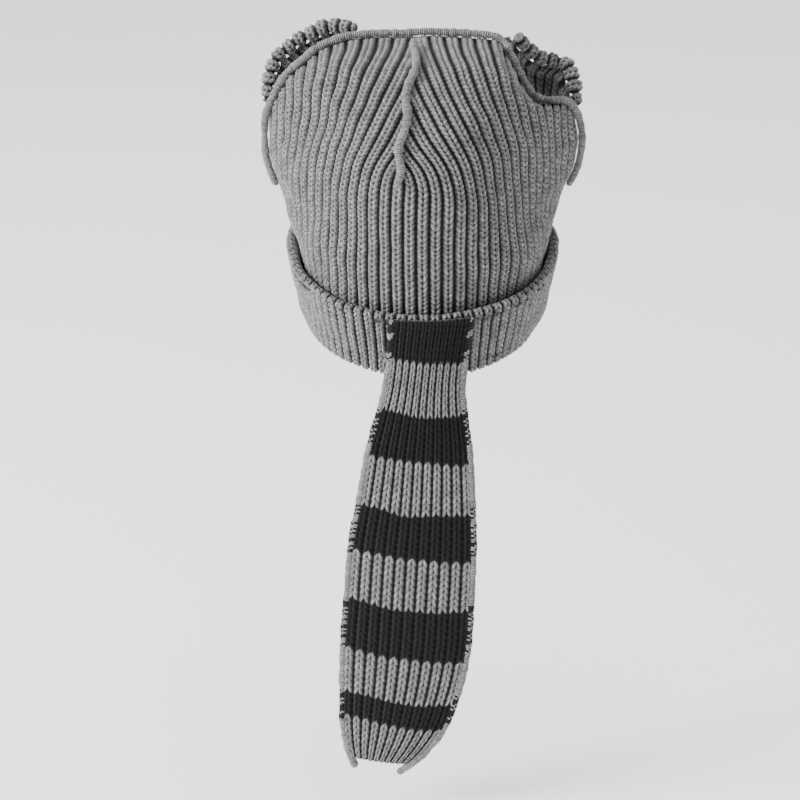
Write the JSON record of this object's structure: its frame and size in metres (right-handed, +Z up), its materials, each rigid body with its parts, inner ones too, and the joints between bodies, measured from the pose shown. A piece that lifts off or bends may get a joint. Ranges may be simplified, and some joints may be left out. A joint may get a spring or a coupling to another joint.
{
  "type": "knitted beanie with ears and a tail",
  "caption": "Rib-knit beanie with open corner ears, a turned-up cuff, raised outside seams and a striped knitted tail hanging from the back of the cuff.",
  "frame": {"origin": "where the top of a head meets the inside of the crown, on the hat's middle plane", "axes": "+Z up through the top of the head, +Y the way the wearer faces, so the tail hangs on the -Y side, +X to the wearer's right"},
  "size_m": [0.2115, 0.2208, 0.4853],
  "materials": {
    "heather_rib": "matt grey heather wool blend, chunky rib knit",
    "heather_rib_cuff": "matt grey heather wool blend, doubled rib knit",
    "overlock_thread": "matt wool overlock stitches, slightly fuzzy",
    "striped_knit": "matt rib knit in black and heather grey stripes"
  },
  "bodies": {
    "root": {"crown": "heather_rib", "cuff": "heather_rib_cuff", "top_seam": "overlock_thread", "back_seam": "overlock_thread", "ear_rim_left": "heather_rib", "ear_rim_right": "heather_rib", "tail": "striped_knit", "tail_edge_left": "overlock_thread", "tail_edge_right": "overlock_thread"}
  },
  "joints": []
}
